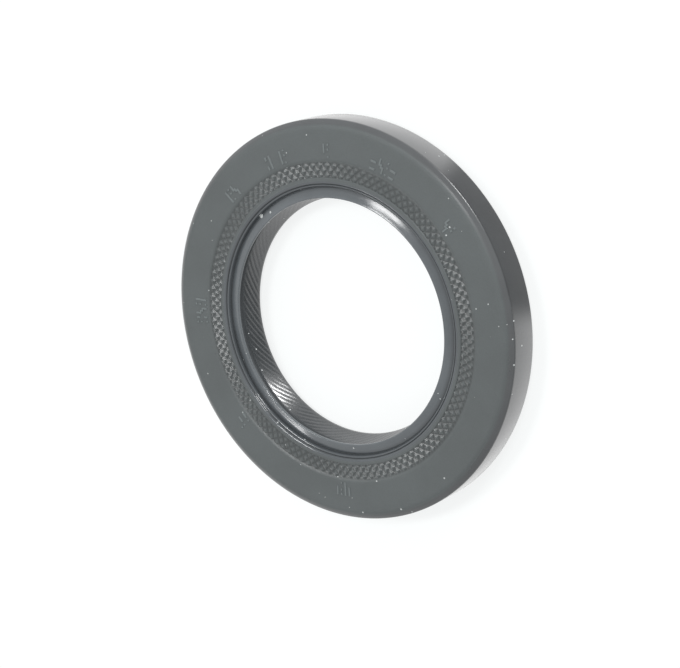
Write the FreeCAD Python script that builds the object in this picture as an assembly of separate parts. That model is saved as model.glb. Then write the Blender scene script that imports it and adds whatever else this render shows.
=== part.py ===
import FreeCAD, Part
import math
import os

# Radial shaft seal with a rubber-covered outside, a dust lip and a sprung sealing lip.
# Millimetres. The axis is +Z, the rim of the oil side stands on z = 0, and the air side faces up.
# Every piece is a turned section. A round in a section is run as a few short flats, because each
# flat goes all the way round the ring, and true rounds would make the ring many times heavier.

# Where the seal works
shaft_d = 45.0
housing_d = 72.0
seal_width = 7.0

# Outer cover and the face of the air side
press_allowance = 0.25      # how much larger than its housing the cover is moulded
cover_t = 1.0
face_t = 1.1
rim_t = 0.5                 # rubber standing out beyond the end of the case
lead_in_h = 0.3
lead_in_w = 0.5
bevel_h = 0.95
bevel_w = 1.1
bevel_top_round = 1.2

# Pressed steel case
case_t = 0.9
case_bend_r = 0.6

# Sealing lip, from its edge on the shaft up the slope of the air side
lip_grip = 1.6              # how much smaller than the shaft the free edge is
lip_setback = 0.7           # edge above the rim of the oil side
lip_land = 0.3
lip_air_angle = 25.0
lip_oil_angle = 45.0
nose_clearance = 0.3        # end of the lip above the rim of the oil side

# Garter spring and its groove
spring_coil_d = 1.8
spring_flats = 6
spring_height = 0.7         # spring's centre above the edge of the lip
spring_wall = 0.85          # rubber between the spring and the slope of the lip
low_nib_short = 0.05        # how far short of the spring's centre the lower nib ends
groove_wrap_angle = 45.0    # how far up over the spring the upper nib reaches

# Grease pocket, between the slope of the sealing lip and the dust lip
pocket_drop = 2.9           # middle of the pocket below the air face
pocket_rise = 0.65
pocket_depth = 1.05
pocket_round = 0.7

# Dust lip and the groove that frees it from the face
dust_grip = 0.5
dust_tip_drop = 0.52        # tip below the air face
dust_tip_t = 0.35
dust_slope_drop = 0.3
dust_shoulder_in = 0.35     # shoulder inside the pocket's deepest point
dust_shoulder_round = 0.25
face_groove_w = 1.2
face_groove_depth = 1.5
face_groove_in = 0.15
face_rim_round = 0.6

# Membrane and the rubber that holds it to the case
membrane_t = 0.85
membrane_round = 0.8
flange_cover = 1.05         # rubber round the inner edge of the case
root_t = 0.65               # rubber under the inner edge of the case
root_grip = 1.2             # how far that rubber reaches under the case

cover_r = (housing_d + press_allowance) / 2
case_out_r = cover_r - cover_t
case_in_r = case_out_r - case_t
case_top = seal_width - face_t
case_under = case_top - case_t

lip_r = (shaft_d - lip_grip) / 2
lip_top = lip_setback + lip_land
slope = math.tan(math.radians(lip_air_angle))
nose_r = lip_r + (lip_setback - nose_clearance) * math.tan(math.radians(lip_oil_angle))

spring_r = spring_coil_d / 2
spring_z = lip_setback + spring_height
spring_ring_r = (lip_r + (spring_z - lip_top) * slope
                 + spring_wall / math.cos(math.radians(lip_air_angle)) + spring_r)

pocket_z = seal_width - pocket_drop
slope_end_z = pocket_z - pocket_rise
slope_end_r = lip_r + (slope_end_z - lip_top) * slope
pocket_r = slope_end_r + pocket_depth

dust_r = (shaft_d - dust_grip) / 2
dust_tip_z = seal_width - dust_tip_drop
face_groove_in_r = pocket_r - face_groove_in
face_rim_r = face_groove_in_r + face_groove_w
case_edge_r = face_rim_r + flange_cover


def flats_of_round(before, here, after, radius, flats):
    """Points of a round at a corner, which touches both sides and is cut into equal flats."""
    back, ahead = (before - here).normalize(), (after - here).normalize()
    half = back.getAngle(ahead) / 2
    centre = here + (back + ahead).normalize() * (radius / math.sin(half))
    start = here + back * (radius / math.tan(half)) - centre
    end = here + ahead * (radius / math.tan(half)) - centre
    turn = start.getAngle(end)
    points = []
    for step in range(flats + 1):
        along = turn * step / flats
        points.append(centre + start * (math.sin(turn - along) / math.sin(turn))
                      + end * (math.sin(along) / math.sin(turn)))
    return points


def ring(corners):
    """Solid turned from a section. A corner is (r, z) or (r, z, radius, flats of its round)."""
    count = len(corners)
    sharp = [FreeCAD.Vector(c[0], 0, c[1]) for c in corners]
    points = []
    for i, corner in enumerate(corners):
        if len(corner) == 2:
            points.append(sharp[i])
        else:
            points += flats_of_round(sharp[i - 1], sharp[i], sharp[(i + 1) % count], *corner[2:])
    section = Part.Face(Part.makePolygon(points + points[:1]))
    return section.revolve(FreeCAD.Vector(0, 0, 0), FreeCAD.Vector(0, 0, 1), 360)


def steel_case():
    """L-section pressing: a wall inside the outer cover and a flange under the air face."""
    return ring([
        (case_in_r, rim_t),
        (case_out_r, rim_t),
        (case_out_r, case_top, case_bend_r + case_t, 1),
        (case_edge_r, case_top),
        (case_edge_r, case_under),
        (case_in_r, case_under, case_bend_r, 1),
    ])


def garter_spring():
    """Closed ring of the wound coil's outer size, which squeezes the lip on to the shaft."""
    corners = []
    for i in range(spring_flats):
        angle = math.tau * (i + 0.5) / spring_flats
        corners.append((spring_ring_r + spring_r * math.cos(angle),
                        spring_z + spring_r * math.sin(angle)))
    return ring(corners)


def outer_cover():
    """Rim, lead-in, seat for the housing, bevel, and the flat face up to its inner rim."""
    return [
        (case_out_r, 0),
        (cover_r - lead_in_w, 0),
        (cover_r, lead_in_h),
        (cover_r, seal_width - bevel_h),
        (cover_r - bevel_w, seal_width, bevel_top_round, 1),
        (face_rim_r, seal_width, face_rim_round, 2),
    ]


def dust_lip():
    """Groove beside the face, the soft lip that leans in to the shaft, and the grease pocket."""
    groove_floor = seal_width - face_groove_depth
    return [
        (face_rim_r, groove_floor),
        (face_groove_in_r, groove_floor),
        (pocket_r - dust_shoulder_in, dust_tip_z - dust_slope_drop, dust_shoulder_round, 1),
        (dust_r, dust_tip_z),
        (dust_r, dust_tip_z - dust_tip_t),
        (pocket_r, pocket_z, pocket_round, 2),
    ]


def sealing_lip():
    """Slope of the air side, the land on the shaft, the nose, and the two nibs of the groove."""
    low_nib_r = spring_ring_r - low_nib_short
    high_nib_r = spring_ring_r + spring_r * math.cos(math.radians(groove_wrap_angle))
    return [
        (slope_end_r, slope_end_z),
        (lip_r, lip_top),
        (lip_r, lip_setback),
        (nose_r, nose_clearance),
        (low_nib_r, nose_clearance),
        (low_nib_r, spring_z),
        (high_nib_r, spring_z),
    ]


def membrane():
    """Thin wall that lets the lip follow the shaft, and its root on the flange of the case."""
    return [
        (pocket_r + membrane_t, case_under - root_t, membrane_round, 1),
        (case_edge_r + root_grip, case_under),
        (case_in_r, case_under, case_bend_r, 1),
        (case_in_r, rim_t),
        (case_out_r, rim_t),
    ]


case = steel_case()
spring = garter_spring()
moulding = ring(outer_cover() + dust_lip() + sealing_lip() + membrane())
rubber = moulding.cut(case).cut(spring)

os.makedirs("parts", exist_ok=True)
pieces = {"rubber_body": rubber, "steel_case": case, "garter_spring": spring}
for name, piece in pieces.items():
    piece.exportStep("parts/" + name + ".step")
    print(name, len(piece.Solids), piece.isValid(), round(piece.Volume, 1))
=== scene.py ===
import math
import bmesh
import bpy
from mathutils import Matrix, Vector


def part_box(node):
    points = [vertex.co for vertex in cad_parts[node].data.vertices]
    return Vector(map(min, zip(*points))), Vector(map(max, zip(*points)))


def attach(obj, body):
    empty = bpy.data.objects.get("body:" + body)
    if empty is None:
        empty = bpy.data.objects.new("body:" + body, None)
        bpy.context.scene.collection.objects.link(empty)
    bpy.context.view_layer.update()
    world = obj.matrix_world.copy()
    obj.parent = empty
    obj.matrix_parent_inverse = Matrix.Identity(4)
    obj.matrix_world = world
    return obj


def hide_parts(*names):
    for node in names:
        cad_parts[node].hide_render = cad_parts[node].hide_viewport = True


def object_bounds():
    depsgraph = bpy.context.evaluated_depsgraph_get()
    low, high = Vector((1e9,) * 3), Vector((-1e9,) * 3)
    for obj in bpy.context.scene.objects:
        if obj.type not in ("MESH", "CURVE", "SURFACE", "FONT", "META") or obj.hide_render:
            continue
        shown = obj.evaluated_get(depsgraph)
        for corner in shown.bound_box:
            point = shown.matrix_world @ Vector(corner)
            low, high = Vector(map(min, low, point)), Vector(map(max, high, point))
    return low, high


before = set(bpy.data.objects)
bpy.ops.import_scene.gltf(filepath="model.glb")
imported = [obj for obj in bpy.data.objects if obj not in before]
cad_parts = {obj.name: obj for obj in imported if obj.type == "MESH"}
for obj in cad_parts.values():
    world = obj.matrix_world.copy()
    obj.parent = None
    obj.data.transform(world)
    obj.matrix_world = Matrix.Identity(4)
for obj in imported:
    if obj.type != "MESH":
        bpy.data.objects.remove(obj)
cad_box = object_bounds()

# Rubber moulding, outer run of its section
# Nitrile rubber, moulded and bonded round the steel case in one shot. This run goes over the face of
# the air side, down the press-fit cover, round the buried case, down the membrane and round the
# spring's groove to the land that seals on the shaft. All sizes in this file are in millimetres.
mm = 0.001
weld = 0.004                                # points closer than this are merged
knurl_count, knurl_steps = 115, 4
rib_count, rib_steps = 92, 5
turn_steps = knurl_count * knurl_steps      # also rib_count * rib_steps, so that all rings meet
step_deg = 360 / turn_steps

rubber_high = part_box("rubber_body")[1] / mm
case_low, case_high = [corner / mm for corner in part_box("steel_case")]
spring_low, spring_high = [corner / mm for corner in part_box("garter_spring")]

cover_r = rubber_high.x
mark_height = 0.1
face_z = rubber_high.z - mark_height        # the moulded marks reach the top of the box
case_out_r, case_end_z, case_top = case_high.x, case_low.z, case_high.z
case_t = 0.9
case_under = case_top - case_t
case_edge_r = 25.9925
case_bend = 1.5

coil_r = (spring_high.z - spring_low.z) / 2
coil_z = (spring_high.z + spring_low.z) / 2
hexagon_deg = 30                            # where the solid spring's outermost corners stand
coil_ring_r = spring_high.x - coil_r * math.cos(math.radians(hexagon_deg))

knurl_in_r, knurl_out_r = 25.8, 28.98
mark_in_r, mark_cell, mark_rows = 29.35, 0.43, 6
plain_face_r = 33.6
bevel_in_r, bevel_low_z = 35.025, 6.05
lead_in_w, lead_in_h = 0.5, 0.3

membrane_r, membrane_z = 24.7425, 4.35
root_r = 27.1925
high_nib_r, high_nib_z = 24.44, 2.03
groove_from_deg, groove_to_deg, groove_points = 50, 266, 12
low_nib_r = coil_ring_r - 0.05
nose_r, nose_z = 22.1, 0.3
lip_r, lip_edge_z, land_z = 21.7, 0.7, 1.0


def place(r, z, turn_deg=0.0):
    """Point at a radius, a height and an angle round the axis, in metres."""
    turn = math.radians(turn_deg)
    return Vector((r * math.cos(turn), r * math.sin(turn), z)) * mm


def pick(chosen, kind="VERT"):
    """Selects the points or faces for which chosen(radius, degrees, height) is true, and no others."""
    bpy.ops.mesh.select_mode(type=kind)
    bpy.ops.mesh.select_all(action="DESELECT")
    mesh = bpy.context.object.data
    shape = bmesh.from_edit_mesh(mesh)
    for item in shape.faces if kind == "FACE" else shape.verts:
        spot = (item.calc_center_median() if kind == "FACE" else item.co) / mm
        turned = math.degrees(math.atan2(spot.y, spot.x))
        item.select = chosen(math.hypot(spot.x, spot.y), turned, spot.z)
    shape.select_flush_mode()
    bmesh.update_edit_mesh(mesh)


def draw_section(name, corners, twist_deg=0.0):
    """Chain of edges through corners (r, z), each turned twist_deg further round the axis than the
    last. A corner (r, z, reach, segments) is rounded, and reach is how far the round runs each way."""
    bpy.ops.object.select_all(action="DESELECT")
    bpy.ops.mesh.primitive_plane_add(size=mm, enter_editmode=True)
    bpy.context.object.name = name
    bpy.ops.mesh.select_mode(type="VERT")
    bpy.ops.mesh.merge(type="CENTER")
    last = place(*corners[0][:2])
    bpy.ops.transform.translate(value=last)
    for i, corner in enumerate(corners[1:], 1):
        here = place(*corner[:2], i * twist_deg)
        bpy.ops.mesh.extrude_region_move(TRANSFORM_OT_translate={"value": here - last})
        last = here
    bpy.ops.mesh.select_all(action="SELECT")
    bpy.ops.mesh.remove_doubles(threshold=weld * mm)
    for corner in corners:
        if len(corner) == 4:
            r, z, reach, segments = corner
            pick(lambda radius, turned, height: math.hypot(radius - r, height - z) < weld / 4)
            bpy.ops.mesh.bevel(offset=reach * mm, segments=segments, affect="VERTICES")
    bpy.ops.mesh.select_all(action="SELECT")
    return bpy.context.object


def spin(steps, degrees, copies=False):
    """Turns the selection round the seal's axis, as a surface or as separate copies."""
    bpy.ops.mesh.spin(steps=steps, angle=math.radians(degrees), dupli=copies,
                      center=(0, 0, 0), axis=(0, 0, 1))


def close_seams():
    """Merges the points where spun ends and neighbouring patches meet."""
    bpy.ops.mesh.select_mode(type="VERT")
    bpy.ops.mesh.select_all(action="SELECT")
    bpy.ops.mesh.remove_doubles(threshold=weld * mm)


outer_corners = [(knurl_out_r, face_z)]
for row in range(mark_rows + 1):
    outer_corners.append((mark_in_r + row * mark_cell, face_z))
outer_corners += [
    (plain_face_r, face_z),
    (bevel_in_r, face_z, 0.65, 8),
    (cover_r, bevel_low_z, 0.22, 4),
    (cover_r, lead_in_h, 0.12, 3),
    (cover_r - lead_in_w, 0, 0.08, 3),
    (case_out_r, 0, 0.06, 3),
    (case_out_r, case_end_z),
    (case_out_r, case_top, case_bend, 4),
    (case_edge_r, case_top),
    (case_edge_r, case_under),
    (root_r, case_under),
    (membrane_r, membrane_z, 0.55, 7),
    (high_nib_r, high_nib_z, 0.07, 3),
]
for i in range(groove_points + 1):
    turn = math.radians(groove_from_deg + (groove_to_deg - groove_from_deg) * i / groove_points)
    outer_corners.append((coil_ring_r + coil_r * math.cos(turn), coil_z + coil_r * math.sin(turn)))
outer_corners += [
    (low_nib_r, nose_z, 0.07, 3),
    (nose_r, nose_z, 0.12, 3),
    (lip_r, lip_edge_z),
    (lip_r, land_z),
]
rubber = draw_section("seal_rubber", outer_corners)
spin(turn_steps, 360)
bpy.ops.object.mode_set(mode="OBJECT")

# Rubber moulding, inner run of its section
# From the top of the sealing lip's slope round the grease pocket, over the dust lip that keeps dirt
# off the shaft, through the shallow groove that frees it, and up the small ledge to the face.
slope_r, slope_z = 23.076, 3.95
pocket_r, pocket_z = 23.8925, 4.45
dust_r = 22.25

inner_run = draw_section("inner_run", [
    (slope_r, slope_z),
    (pocket_r, pocket_z, 0.6, 6),
    (dust_r, 5.95, 0.07, 3),
    (dust_r, 6.42, 0.12, 4),
    (22.45, 6.47, 0.1, 3),
    (22.8, 6.35),
    (23.15, 6.236),
    (23.5, 6.13),
    (23.9, 6.02),
    (24.07, 5.96, 0.04, 2),
    (24.2, 5.86, 0.05, 2),
    (24.4, 6.55, 0.1, 4),
    (24.66, 6.63, 0.04, 2),
    (24.74, 6.52, 0.03, 2),
    (24.88, face_z, 0.36, 7),
    (25.45, face_z),
    (knurl_in_r, face_z),
])
spin(turn_steps, 360)
bpy.ops.object.mode_set(mode="OBJECT")

# Rubber moulding, knurled band of the face
# Crossing grooves leave three staggered rows of small pads, 115 to the turn, between two shallow
# ring grooves. One sector is spun and sunk, then copied round.
near = 0.01                                 # a radius or height closer than this is the same
knurl_depth = 0.18
pad_row_r, half_row = 28.1, 0.425
band_in_r, band_out_r = 25.95, 28.7
flank_share, edge_share = 0.5, 0.5

knurl_rows = [knurl_in_r, band_in_r]
knurl_rows += [pad_row_r + half_row * i for i in range(-5, 2)]
knurl_rows += [band_out_r, knurl_out_r]


def knurl_share(radius, turned):
    """How deep a point of the sector lies: 0 on a pad's top and beside the band, 1 in a groove."""
    if radius < knurl_in_r + near or radius > knurl_out_r - near:
        return 0
    if radius < band_in_r + near or radius > band_out_r - near:
        return edge_share
    across, along = round((radius - pad_row_r) / half_row), round(turned / step_deg)
    if (across + along) % 2:
        return flank_share
    return 0 if (across + along) % 4 == 0 and (across - along) % 4 == 0 else 1


def in_valley(radius, turned, lean):
    """Whether a groove that leans this way runs from corner to corner of the face here."""
    across, along = (radius - pad_row_r) / half_row, turned / step_deg
    among_pads = band_in_r < radius < pad_row_r + half_row
    return among_pads and round(across + lean * along) % 4 == 2


knurl = draw_section("knurl", [(r, face_z) for r in knurl_rows])
spin(knurl_steps, 360 / knurl_count)
for share in sorted({flank_share, edge_share, 1}):
    pick(lambda radius, turned, height: knurl_share(radius, turned) == share)
    bpy.ops.transform.translate(value=(0, 0, -share * knurl_depth * mm))
for lean, method in ((1, "FIXED"), (-1, "FIXED_ALTERNATE")):
    pick(lambda radius, turned, height: in_valley(radius, turned, lean), "FACE")
    bpy.ops.mesh.quads_convert_to_tris(quad_method=method)
bpy.ops.mesh.select_mode(type="VERT")
bpy.ops.mesh.select_all(action="SELECT")
spin(knurl_count - 1, 360 - 360 / knurl_count, copies=True)
bpy.ops.object.mode_set(mode="OBJECT")

# Rubber moulding, one-way ribs on the slope of the sealing lip
# Fine slanted ribs that pump leaking oil back as the shaft turns, 92 to the turn, at about 29 degrees
# to the edge. One rib is spun from a slanted line and raised, then copied round.
rib_rows = 12
rib_lean_steps = 19                          # how many steps the rib runs round from bottom to top
rib_height = 0.022
rib_rise = (0, 0.8, 1, 0.67, 0.33)           # across one rib, steep below its crest and gentle above
rib_end_share = 0.6

rib_twist = -rib_lean_steps * step_deg / rib_rows


def rib_share(turned, height):
    """How high a point of the rib stands, as a share of the full height."""
    row = round((height - land_z) / (slope_z - land_z) * rib_rows)
    column = round((turned - row * rib_twist) / step_deg) % rib_steps
    if row in (0, rib_rows):
        return 0
    return rib_rise[column] * (rib_end_share if row == rib_rows - 1 else 1)


slope_line = [(lip_r + (slope_r - lip_r) * i / rib_rows, land_z + (slope_z - land_z) * i / rib_rows)
              for i in range(rib_rows + 1)]
ribs = draw_section("ribs", slope_line, rib_twist)
spin(rib_steps, 360 / rib_count)
for share in sorted({rise * end for rise in rib_rise for end in (1, rib_end_share)} - {0}):
    pick(lambda radius, turned, height: rib_share(turned, height) == share)
    inward = 1 - share * rib_height / lip_r
    bpy.ops.transform.resize(value=(inward, inward, 1), center_override=(0, 0, 0))
bpy.ops.mesh.select_all(action="SELECT")
spin(rib_count - 1, 360 - 360 / rib_count, copies=True)
bpy.ops.object.mode_set(mode="OBJECT")

# Rubber moulding, put together, with the raised marks of the mould
# The four patches share their rings of points and become one closed skin. Groups of plain bars, dots
# and steps stand on the face.
mark_side = 0.07
rubber_sharp_deg = 20
# a motif has one word for each step round the seal, and an x where a cell of its radius is raised
mark_bar = ("xxxxxx",)
mark_broken = ("xx..xx",)
mark_short = ("..xxxx",)
mark_slant = ("xxx...", "..xx..", "...xxx")
mark_dots = ("x..x.x",)
mark_rungs = ("x..x..", "x..x..", "x..x..")
mark_gap = "." * mark_rows
# where the middle of each group lies, in degrees, and the motifs that follow each other there
mark_groups = (
    (2, (mark_bar, mark_broken)),
    (22, (mark_slant, mark_dots, mark_bar)),
    (69, (mark_bar, mark_dots, mark_slant, mark_broken, mark_dots)),
    (110, (mark_rungs, mark_dots)),
    (157, (mark_short, mark_dots, mark_bar, mark_short)),
    (286, (mark_dots, mark_slant)),
    (315, (mark_rungs, mark_dots, mark_slant, mark_rungs)),
    (338, (mark_dots, mark_short)),
    (356, (mark_dots, mark_bar)),
)

marked_cells = set()
for middle_deg, motifs in mark_groups:
    columns = [column for motif in motifs for column in (*motif, mark_gap)]
    first = round(middle_deg / step_deg - len(columns) / 2)
    for i, column in enumerate(columns):
        for row, cell in enumerate(column):
            if cell == "x":
                marked_cells.add(((first + i) % turn_steps, row))


def is_marked(radius, turned, height):
    """Whether a face of the moulding belongs to one of the marks."""
    row = math.floor((radius - mark_in_r) / mark_cell)
    column = math.floor(turned / step_deg) % turn_steps
    return height > face_z - near and (column, row) in marked_cells


bpy.ops.object.select_all(action="DESELECT")
for patch in (inner_run, knurl, ribs, rubber):
    patch.select_set(True)
bpy.context.view_layer.objects.active = rubber
bpy.ops.object.join()
bpy.ops.object.mode_set(mode="EDIT")
close_seams()
bpy.ops.mesh.normals_make_consistent(inside=False)
pick(is_marked, "FACE")
bpy.ops.mesh.inset(thickness=mark_side * mm, depth=mark_height * mm)
bpy.ops.object.mode_set(mode="OBJECT")
bpy.ops.object.shade_smooth_by_angle(angle=math.radians(rubber_sharp_deg))
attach(rubber, "root")
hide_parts("rubber_body")

# Rubber moulding, its finish
# Black nitrile rubber, which looks grey where the mould's etched face left it matt. The cover and the
# lips come from polished steel and shine more. Specks of pale dust and two crumbs lie on it. Painted
# shade darkens the knurl's grooves, the bore and the grease pocket. A painted sheen lightens the dust
# lip towards its tip, with painted shade in its groove, on the ledge and in the notch. The raised marks
# are painted lighter as a highlight.
face_colour = (0.088, 0.101, 0.103, 1)
smooth_colour = (0.04, 0.043, 0.046, 1)
bevel_colour = (0.083, 0.088, 0.092, 1)
lip_colour = (0.1, 0.112, 0.121, 1)
dust_colour = (0.45, 0.47, 0.47, 1)
band_tone, groove_shade_tone, mark_painted_highlight = 0.96, 0.65, 1.6
face_roughness, smooth_roughness, band_roughness = 0.6, 0.3, 0.34
dust_dulls = 0.4
slope_coat, coat_roughness, coat_ior = 0.8, 0.2, 1.75
noise_low, noise_high = 0.3, 0.7             # nearly all of a noise lies between these
# painted shading of the lips by radius: a painted sheen fading outward from the dust lip's tip, painted
# shade in its groove, on the ledge and in the notch, and a plain darker factor for the face beyond;
# painted shade of the bore and the grease pocket by height, and roughness of the bore by height
lip_painted_shading = ((22.2, 1.0), (22.6, 1.0), (23.4, 0.95), (23.9, 0.72), (24.05, 0.6), (24.3, 0.6),
             (24.42, 0.72), (24.62, 0.72), (24.72, 0.5), (24.86, 0.5), (25.0, 0.8), (30.0, 0.8))
bore_painted_shade = ((0.0, 0.44), (3.6, 0.44), (4.1, 0.6), (5.7, 0.6), (5.95, 1.0), (7.0, 1.0))
lip_roughness = ((0.0, 0.25), (3.9, 0.25), (4.1, 0.5), (5.9, 0.5), (6.0, 0.12), (7.0, 0.12))
crumbs = ((22.75, 7.8, 6.0, 0.54), (22.7, 5.4, 6.17, 0.34))     # x, y, z and reach
crumb_ragged = 0.3


def add_node(tree, kind, inputs=None, **settings):
    """Adds a node, sets its properties, and fills its sockets with values or links."""
    made = tree.nodes.new(kind)
    for name, value in settings.items():
        setattr(made, name, value)
    for name, value in (inputs or {}).items():
        if isinstance(value, bpy.types.NodeSocket):
            tree.links.new(value, made.inputs[name])
        else:
            made.inputs[name].default_value = value
    return made


def new_material(name):
    """Material with an empty node tree, and that tree's output node."""
    made = bpy.data.materials.new(name)
    made.use_nodes = True
    made.node_tree.nodes.clear()
    return made, made.node_tree, made.node_tree.nodes.new("ShaderNodeOutputMaterial")


def new_group(name, inputs, outputs):
    """Shader node group with named sockets, and the nodes at its two ends."""
    made = bpy.data.node_groups.new(name, "ShaderNodeTree")
    for socket, kind, value in inputs:
        made.interface.new_socket(socket, in_out="INPUT", socket_type=kind).default_value = value
    for socket, kind in outputs:
        made.interface.new_socket(socket, in_out="OUTPUT", socket_type=kind)
    return made, made.nodes.new("NodeGroupInput"), made.nodes.new("NodeGroupOutput")


def calculate(tree, operation, *values):
    """Output of one Math node."""
    return add_node(tree, "ShaderNodeMath", dict(enumerate(values)), operation=operation).outputs[0]


def fade(tree, value, start, end, low=0.0, high=1.0):
    """Value that goes smoothly from low at start to high at end."""
    return add_node(tree, "ShaderNodeMapRange",
                    {"Value": value, "From Min": start, "From Max": end, "To Min": low, "To Max": high},
                    interpolation_type="SMOOTHSTEP").outputs["Result"]


def tone_along(tree, value, stops):
    """Tone that follows a value through stops (value, tone), with straight runs between them."""
    first, last = stops[0][0], stops[-1][0]
    share = add_node(tree, "ShaderNodeMapRange", {"Value": value, "From Min": first, "From Max": last})
    ramp = add_node(tree, "ShaderNodeValToRGB", {"Fac": share.outputs["Result"]})
    points = ramp.color_ramp.elements
    while len(points) < len(stops):
        points.new(0.5)
    for point, (place_on_run, tone) in zip(points, stops):
        point.position = (place_on_run - first) / (last - first)
        point.color = (tone, tone, tone, 1)
    return ramp.outputs["Color"]


def blend_colours(tree, share, first, second):
    """Colour between two others."""
    mixed = add_node(tree, "ShaderNodeMix", {0: share, 6: first, 7: second}, data_type="RGBA")
    return mixed.outputs[2]


def level_reach(tree, axes):
    """Distance from the axis, from the node that splits a place in its axes."""
    squares = [calculate(tree, "MULTIPLY", axes.outputs[i], axes.outputs[i]) for i in (0, 1)]
    return calculate(tree, "SQRT", calculate(tree, "ADD", *squares))


# where a point of a turned piece lies, in millimetres: out from the axis, and up
turned_place, ends_in, ends_out = new_group(
    "turned_place", [("Place", "NodeSocketVector", (0, 0, 0))],
    [("Radius", "NodeSocketFloat"), ("Height", "NodeSocketFloat")])
axes = add_node(turned_place, "ShaderNodeSeparateXYZ", {0: ends_in.outputs["Place"]})
for name, metres in (("Radius", level_reach(turned_place, axes)), ("Height", axes.outputs[2])):
    turned_place.links.new(calculate(turned_place, "DIVIDE", metres, mm), ends_out.inputs[name])

# pale specks that have settled on a surface
dust_specks, ends_in, ends_out = new_group(
    "dust_specks",
    [("Place", "NodeSocketVector", (0, 0, 0)), ("Per Metre", "NodeSocketFloat", 700.0),
     ("Cells Bare", "NodeSocketFloat", 0.6), ("Speck Size", "NodeSocketFloat", 0.12)],
    [("Mask", "NodeSocketFloat")])
cells = add_node(dust_specks, "ShaderNodeTexVoronoi",
                 {"Vector": ends_in.outputs["Place"], "Scale": ends_in.outputs["Per Metre"]})
chance = add_node(dust_specks, "ShaderNodeSeparateColor", {0: cells.outputs["Color"]})
size = calculate(dust_specks, "MULTIPLY", chance.outputs[1], ends_in.outputs["Speck Size"])
inside = calculate(dust_specks, "LESS_THAN", cells.outputs["Distance"], size)
chosen_cell = calculate(dust_specks, "GREATER_THAN", chance.outputs[0], ends_in.outputs["Cells Bare"])
dust_specks.links.new(calculate(dust_specks, "MULTIPLY", inside, chosen_cell), ends_out.inputs["Mask"])

# fine grain of a moulded or pressed surface, with a broad cloudy change of tone
fine_grain, ends_in, ends_out = new_group(
    "fine_grain",
    [("Place", "NodeSocketVector", (0, 0, 0)), ("Grain Per Metre", "NodeSocketFloat", 6000.0),
     ("Clouds Per Metre", "NodeSocketFloat", 90.0)],
    [("Grain", "NodeSocketFloat"), ("Clouds", "NodeSocketFloat")])
for name, scale, detail in (("Grain", "Grain Per Metre", 3.0), ("Clouds", "Clouds Per Metre", 4.0)):
    noise = add_node(fine_grain, "ShaderNodeTexNoise",
                     {"Vector": ends_in.outputs["Place"], "Scale": ends_in.outputs[scale],
                      "Detail": detail, "Roughness": 0.6})
    fine_grain.links.new(noise.outputs["Fac"], ends_out.inputs[name])

black_rubber, tree, output = new_material("black_rubber")
here = add_node(tree, "ShaderNodeTexCoord").outputs["Object"]
spot = add_node(tree, "ShaderNodeGroup", {"Place": here}, node_tree=turned_place)
radius, height = spot.outputs["Radius"], spot.outputs["Height"]
grain = add_node(tree, "ShaderNodeGroup", {"Place": here}, node_tree=fine_grain)
specks = add_node(tree, "ShaderNodeGroup", {"Place": here}, node_tree=dust_specks)

dusty = specks.outputs["Mask"]
for *crumb_place, crumb_reach in crumbs:
    away = add_node(tree, "ShaderNodeVectorMath", {0: here, 1: Vector(crumb_place) * mm},
                    operation="DISTANCE").outputs["Value"]
    away = calculate(tree, "MULTIPLY_ADD", grain.outputs["Grain"], crumb_ragged * mm, away)
    dusty = calculate(tree, "MAXIMUM", dusty, calculate(tree, "LESS_THAN", away, crumb_reach * mm))

on_top = fade(tree, height, face_z - 0.45, face_z - 0.15)
off_bevel = fade(tree, radius, 35.15, 34.85)
on_lips = fade(tree, radius, 25.5, 25.15)
on_band = calculate(tree, "MULTIPLY", fade(tree, radius, knurl_in_r - 0.1, knurl_in_r + 0.1),
                    fade(tree, radius, knurl_out_r + 0.05, knurl_out_r - 0.15))
# painted shade: the knurl's grooves get darker the deeper they lie
groove_shade_mask = calculate(tree, "MULTIPLY", on_band, fade(tree, height, face_z - 0.02, face_z - knurl_depth))
on_cover = calculate(tree, "MULTIPLY", fade(tree, radius, cover_r - 0.5, cover_r - 0.1),
                     fade(tree, height, bevel_low_z + 0.1, bevel_low_z - 0.2))
on_slope = calculate(tree, "MULTIPLY", on_lips, fade(tree, height, 4.0, 3.8, 0.0, slope_coat))
on_mark = fade(tree, height, face_z + 0.02, face_z + mark_height)

colour = blend_colours(tree, fade(tree, radius, 35.5, 34.9), bevel_colour, face_colour)
colour = blend_colours(tree, on_cover, colour, smooth_colour)
colour = blend_colours(tree, on_lips, colour, lip_colour)
tone = calculate(tree, "MULTIPLY", fade(tree, grain.outputs["Clouds"], noise_low, noise_high, 0.92, 1.08),
                 fade(tree, grain.outputs["Grain"], noise_low, noise_high, 0.95, 1.05))
tone = calculate(tree, "MULTIPLY", tone, fade(tree, on_band, 0.0, 1.0, 1.0, band_tone))
tone = calculate(tree, "MULTIPLY", tone, fade(tree, groove_shade_mask, 0.0, 1.0, 1.0, groove_shade_tone))
painted_lip_shading = tone_along(tree, radius, lip_painted_shading)
painted_bore_shade = tone_along(tree, height, bore_painted_shade)
# painted sheen fading away from the dust lip's tip, and painted shade in its groove, on the ledge and in
# the notch
tone = calculate(tree, "MULTIPLY", tone, fade(tree, height, 5.6, 5.8, 1.0, painted_lip_shading))
# painted shade: the bore wall and the grease pocket under the dust lip are darkened
tone = calculate(tree, "MULTIPLY", tone, fade(tree, on_lips, 0.0, 1.0, 1.0, painted_bore_shade))
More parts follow.
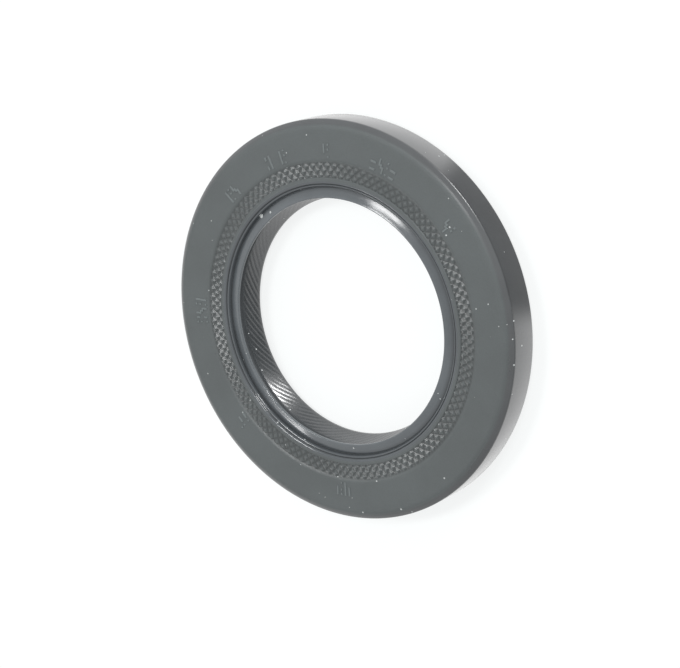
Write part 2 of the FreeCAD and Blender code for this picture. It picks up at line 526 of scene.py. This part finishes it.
# painted highlight: the raised marks are lighter than the face around them
tone = calculate(tree, "MULTIPLY", tone, fade(tree, on_mark, 0.0, 1.0, 1.0, mark_painted_highlight))
toned = add_node(tree, "ShaderNodeMix", {0: 1.0, 6: colour, 7: tone},
                 data_type="RGBA", blend_type="MULTIPLY")
colour = blend_colours(tree, dusty, toned.outputs[2], dust_colour)
roughness = fade(tree, calculate(tree, "MULTIPLY", on_top, off_bevel), 0.0, 1.0,
                 smooth_roughness, face_roughness)
roughness = fade(tree, on_band, 0.0, 1.0, roughness, band_roughness)
roughness = fade(tree, on_lips, 0.0, 1.0, roughness, tone_along(tree, height, lip_roughness))
roughness = calculate(tree, "ADD", roughness,
                      fade(tree, grain.outputs["Clouds"], noise_low, noise_high, -0.03, 0.03))
roughness = calculate(tree, "ADD", roughness, calculate(tree, "MULTIPLY", dusty, dust_dulls))
relief = calculate(tree, "MULTIPLY", grain.outputs["Grain"], fade(tree, roughness, 0.27, 0.55, 0.05, 1.0))
bump = add_node(tree, "ShaderNodeBump", {"Strength": 0.35, "Distance": 0.04 * mm, "Height": relief})
skin = add_node(tree, "ShaderNodeBsdfPrincipled",
                {"Base Color": colour, "Roughness": roughness, "Normal": bump.outputs[0],
                 "Coat Weight": calculate(tree, "MAXIMUM", on_cover, on_slope),
                 "Coat Roughness": coat_roughness, "Coat IOR": coat_ior})
tree.links.new(skin.outputs[0], output.inputs["Surface"])
rubber.data.materials.append(black_rubber)

# Steel case
# Deep-drawn ring of mild steel sheet with a rounded bend. Its wall and flange lie bare on the oil
# side, and the rest is bonded into the rubber.
case_in_r = case_out_r - case_t
sheet_edge = 0.06
case_sharp_deg = 24
dark_steel, pale_steel = (0.25, 0.25, 0.245, 1), (0.34, 0.34, 0.33, 1)

case = draw_section("pressed_case", [
    (case_in_r, case_end_z),
    (case_in_r, case_under, 0.6, 6),
    (case_edge_r, case_under),
    (case_edge_r, case_top),
    (case_out_r, case_top, case_bend, 4),
    (case_out_r, case_end_z, sheet_edge, 2),
    (case_in_r, case_end_z),
])
spin(turn_steps, 360)
close_seams()
bpy.ops.mesh.normals_make_consistent(inside=False)
bpy.ops.object.mode_set(mode="OBJECT")
bpy.ops.object.shade_smooth_by_angle(angle=math.radians(case_sharp_deg))
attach(case, "root")
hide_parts("steel_case")

phosphated_steel, tree, output = new_material("phosphated_steel")
here = add_node(tree, "ShaderNodeTexCoord").outputs["Object"]
grain = add_node(tree, "ShaderNodeGroup",
                 {"Place": here, "Grain Per Metre": 9000, "Clouds Per Metre": 420}, node_tree=fine_grain)
spot = add_node(tree, "ShaderNodeGroup", {"Place": here}, node_tree=turned_place)
drawn = add_node(tree, "ShaderNodeCombineXYZ", {0: spot.outputs["Radius"], 1: spot.outputs["Height"]})
lines = add_node(tree, "ShaderNodeTexNoise", {"Vector": drawn.outputs[0], "Scale": 9.0, "Detail": 3.0})
share = calculate(tree, "ADD", calculate(tree, "MULTIPLY", grain.outputs["Clouds"], 0.6),
                  calculate(tree, "MULTIPLY", lines.outputs["Fac"], 0.4))
colour = blend_colours(tree, fade(tree, share, 0.35, 0.65), dark_steel, pale_steel)
roughness = fade(tree, grain.outputs["Grain"], noise_low, noise_high, 0.38, 0.52)
bump = add_node(tree, "ShaderNodeBump", {"Strength": 0.3, "Distance": 0.03 * mm,
                                         "Height": calculate(tree, "ADD", lines.outputs["Fac"],
                                                             grain.outputs["Grain"])})
skin = add_node(tree, "ShaderNodeBsdfPrincipled",
                {"Base Color": colour, "Metallic": 1.0, "Roughness": roughness, "Normal": bump.outputs[0]})
tree.links.new(skin.outputs[0], output.inputs["Surface"])
case.data.materials.append(phosphated_steel)

# Garter spring
# Close-wound coil of drawn spring wire, joined into a ring. It lies in its groove behind the sealing
# edge and squeezes it on to the shaft.
wire_r = 0.2
spring_turns = 355
turn_points = 10
dark_wire, pale_wire = (0.46, 0.45, 0.43, 1), (0.62, 0.62, 0.61, 1)

helix_r = coil_r - wire_r
wire = bpy.data.curves.new("wound_spring", "CURVE")
wire.dimensions = "3D"
wire.bevel_depth = wire_r * mm
wire.bevel_resolution = 1
helix = wire.splines.new("POLY")
helix.use_cyclic_u = True
helix.points.add(spring_turns * turn_points - 1)
for i, point in enumerate(helix.points):
    round_coil = math.tau * i / turn_points
    round_axis = 360 * i / (spring_turns * turn_points)
    spot = place(coil_ring_r + helix_r * math.cos(round_coil),
                 coil_z + helix_r * math.sin(round_coil), round_axis)
    point.co = (*spot, 1)
spring = bpy.data.objects.new("wound_spring", wire)
bpy.context.scene.collection.objects.link(spring)
bpy.ops.object.select_all(action="DESELECT")
spring.select_set(True)
bpy.context.view_layer.objects.active = spring
bpy.ops.object.convert(target="MESH")
spring = bpy.context.object
bpy.ops.object.shade_smooth()
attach(spring, "root")
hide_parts("garter_spring")

drawn_wire, tree, output = new_material("drawn_wire")
here = add_node(tree, "ShaderNodeTexCoord").outputs["Object"]
grain = add_node(tree, "ShaderNodeGroup",
                 {"Place": here, "Grain Per Metre": 12000, "Clouds Per Metre": 300}, node_tree=fine_grain)
colour = blend_colours(tree, fade(tree, grain.outputs["Clouds"], 0.35, 0.65), dark_wire, pale_wire)
roughness = fade(tree, grain.outputs["Grain"], noise_low, noise_high, 0.2, 0.34)
bump = add_node(tree, "ShaderNodeBump", {"Strength": 0.2, "Distance": 0.01 * mm,
                                         "Height": grain.outputs["Grain"]})
skin = add_node(tree, "ShaderNodeBsdfPrincipled",
                {"Base Color": colour, "Metallic": 1.0, "Roughness": roughness, "Normal": bump.outputs[0]})
tree.links.new(skin.outputs[0], output.inputs["Surface"])
spring.data.materials.append(drawn_wire)

# Floor
# A plain white sheet, which stays white in the view and keeps the soft shadow. In reflections it is white
# too, except for a grey patch painted beside the cover and seen in reflections only: a painted dark
# reflection that gives the glossy rubber its dark side.
sheet_side = 4000
sheet_glow, shadow_share = 1.07, 0.27
shade_patch_glow, shade_patch_azimuth, shade_patch_half_deg, shade_patch_soft_deg = 0.32, -83, 23, 7
shade_patch_from_r, shade_patch_fade = 35.0, 1.0

bpy.ops.object.select_all(action="DESELECT")
bpy.ops.mesh.primitive_plane_add(size=sheet_side * mm, location=(0, 0, cad_box[0].z))
floor = bpy.context.object
floor.name = "floor"


def seen_directly(tree):
    """1 for rays that show the background itself, in the view, in gloss or through glass."""
    path = add_node(tree, "ShaderNodeLightPath")
    direct = calculate(tree, "MAXIMUM", path.outputs["Is Camera Ray"], path.outputs["Is Glossy Ray"])
    return calculate(tree, "MAXIMUM", direct, path.outputs["Is Transmission Ray"])


def reach_towards(tree, axes, azimuth):
    """How far a place or direction lies towards an azimuth, from the node that splits it in its axes."""
    turn = math.radians(azimuth)
    return calculate(tree, "ADD", calculate(tree, "MULTIPLY", axes.outputs[0], math.cos(turn)),
                     calculate(tree, "MULTIPLY", axes.outputs[1], math.sin(turn)))


floor_white, tree, output = new_material("white_sheet")
lit = add_node(tree, "ShaderNodeBsdfDiffuse", {"Color": (0.76, 0.8, 0.8, 1)})
glow = add_node(tree, "ShaderNodeEmission", {"Color": (0.99, 1, 1, 1), "Strength": sheet_glow})
kept_shadow = add_node(tree, "ShaderNodeMixShader",
                       {0: shadow_share, 1: glow.outputs[0], 2: lit.outputs[0]})
floor_axes = add_node(tree, "ShaderNodeSeparateXYZ",
                      {0: add_node(tree, "ShaderNodeTexCoord").outputs["Object"]})
floor_reach = level_reach(tree, floor_axes)
# painted dark reflection: a grey patch beside the cover, seen in glossy rays only
shade_patch_cosine = calculate(tree, "DIVIDE", reach_towards(tree, floor_axes, shade_patch_azimuth), floor_reach)
on_shade_patch = fade(tree, shade_patch_cosine, math.cos(math.radians(shade_patch_half_deg + shade_patch_soft_deg)),
               math.cos(math.radians(shade_patch_half_deg - shade_patch_soft_deg)))
on_shade_patch = calculate(tree, "MULTIPLY", on_shade_patch,
                    fade(tree, floor_reach, shade_patch_from_r * mm, (shade_patch_from_r + shade_patch_fade) * mm))
shade_patch = add_node(tree, "ShaderNodeEmission",
                {"Color": (1, 1, 1, 1), "Strength": fade(tree, on_shade_patch, 0.0, 1.0, sheet_glow, shade_patch_glow)})
path = add_node(tree, "ShaderNodeLightPath")
in_gloss = add_node(tree, "ShaderNodeMixShader", {0: path.outputs["Is Glossy Ray"],
                                                  1: kept_shadow.outputs[0], 2: shade_patch.outputs[0]})
shown = add_node(tree, "ShaderNodeMixShader", {0: seen_directly(tree), 1: lit.outputs[0],
                                              2: in_gloss.outputs[0]})
tree.links.new(shown.outputs[0], output.inputs["Surface"])
floor.data.materials.append(floor_white)

# Studio light
# A white surround, with two soft boxes high up and two low ones that shine through the bore from in
# front and from behind. A grey screen, seen in reflections only, darkens the far wall of the bore.
fill_glow, seen_glow = 0.78, 1.0
# the screen fades in between two values of its direction's cosine, and out between two heights
screen_glow, screen_azimuth, screen_edges, screen_top = 0.15, 243, (0.55, 0.9), (0.42, 0.3)

world = bpy.data.worlds.new("surround")
bpy.context.scene.world = world
world.use_nodes = True
tree = world.node_tree
tree.nodes.clear()
plain = add_node(tree, "ShaderNodeBackground", {"Color": (1, 1, 1, 1), "Strength": fill_glow})
white = add_node(tree, "ShaderNodeBackground", {"Color": (1, 1, 1, 1), "Strength": seen_glow})
towards = add_node(tree, "ShaderNodeSeparateXYZ",
                   {0: add_node(tree, "ShaderNodeTexCoord").outputs["Generated"]})
on_screen = calculate(tree, "MULTIPLY",
                      fade(tree, reach_towards(tree, towards, screen_azimuth), *screen_edges),
                      fade(tree, towards.outputs[2], *screen_top))
screened = add_node(tree, "ShaderNodeBackground",
                    {"Color": (1, 1, 1, 1),
                     "Strength": fade(tree, on_screen, 0.0, 1.0, seen_glow, screen_glow)})
path = add_node(tree, "ShaderNodeLightPath")
in_gloss = add_node(tree, "ShaderNodeMixShader", {0: path.outputs["Is Glossy Ray"], 1: white.outputs[0],
                                                  2: screened.outputs[0]})
both = add_node(tree, "ShaderNodeMixShader", {0: seen_directly(tree), 1: plain.outputs[0],
                                             2: in_gloss.outputs[0]})
output = tree.nodes.new("ShaderNodeOutputWorld")
tree.links.new(both.outputs[0], output.inputs["Surface"])

light_distance = 600 * mm


def soft_box(name, azimuth, elevation, wide_deg, tall_deg, radiance):
    """Rectangular lamp aimed at the seal, given by the angles that it fills as seen from there."""
    turn, up = math.radians(azimuth), math.radians(elevation)
    away = Vector((math.cos(up) * math.cos(turn), math.cos(up) * math.sin(turn), math.sin(up)))
    lamp = bpy.data.lights.new(name, "AREA")
    lamp.shape = "RECTANGLE"
    lamp.size = 2 * light_distance * math.tan(math.radians(wide_deg) / 2)
    lamp.size_y = 2 * light_distance * math.tan(math.radians(tall_deg) / 2)
    lamp.energy = radiance * math.pi * lamp.size * lamp.size_y
    made = bpy.data.objects.new(name, lamp)
    facing = away.to_track_quat("Z", "Y").to_matrix().to_4x4()
    made.matrix_world = Matrix.Translation(away * light_distance) @ facing
    made.visible_camera = False
    bpy.context.scene.collection.objects.link(made)


soft_box("key", 34, 66.2, 14, 10.5, 22)
soft_box("back", 104, 21, 9, 7.5, 7.5)
soft_box("front", -41, 64, 8, 8, 20)
soft_box("low_front", -57, 8, 13, 9, 50)

# Camera
# It stands where the photograph was taken from, turned so that the seal seems to stand on its edge.
view_elevation, view_distance = 51.44, 361.0
view_aim = (-2.0, 5.5, 0.0)
view_roll = -111.1
view_lens = 105.9

camera_data = bpy.data.cameras.new("camera")
camera_data.sensor_width = 36
camera_data.lens = view_lens
camera_data.clip_start = 0.01
camera = bpy.data.objects.new("camera", camera_data)
up = math.radians(view_elevation)
back = Vector((0, -math.cos(up), math.sin(up)))
camera.matrix_world = (Matrix.Translation((Vector(view_aim) + back * view_distance) * mm)
                       @ back.to_track_quat("Z", "Y").to_matrix().to_4x4()
                       @ Matrix.Rotation(math.radians(view_roll), 4, "Z"))
bpy.context.scene.collection.objects.link(camera)
bpy.context.scene.camera = camera
bpy.context.scene.view_settings.view_transform = "Standard"
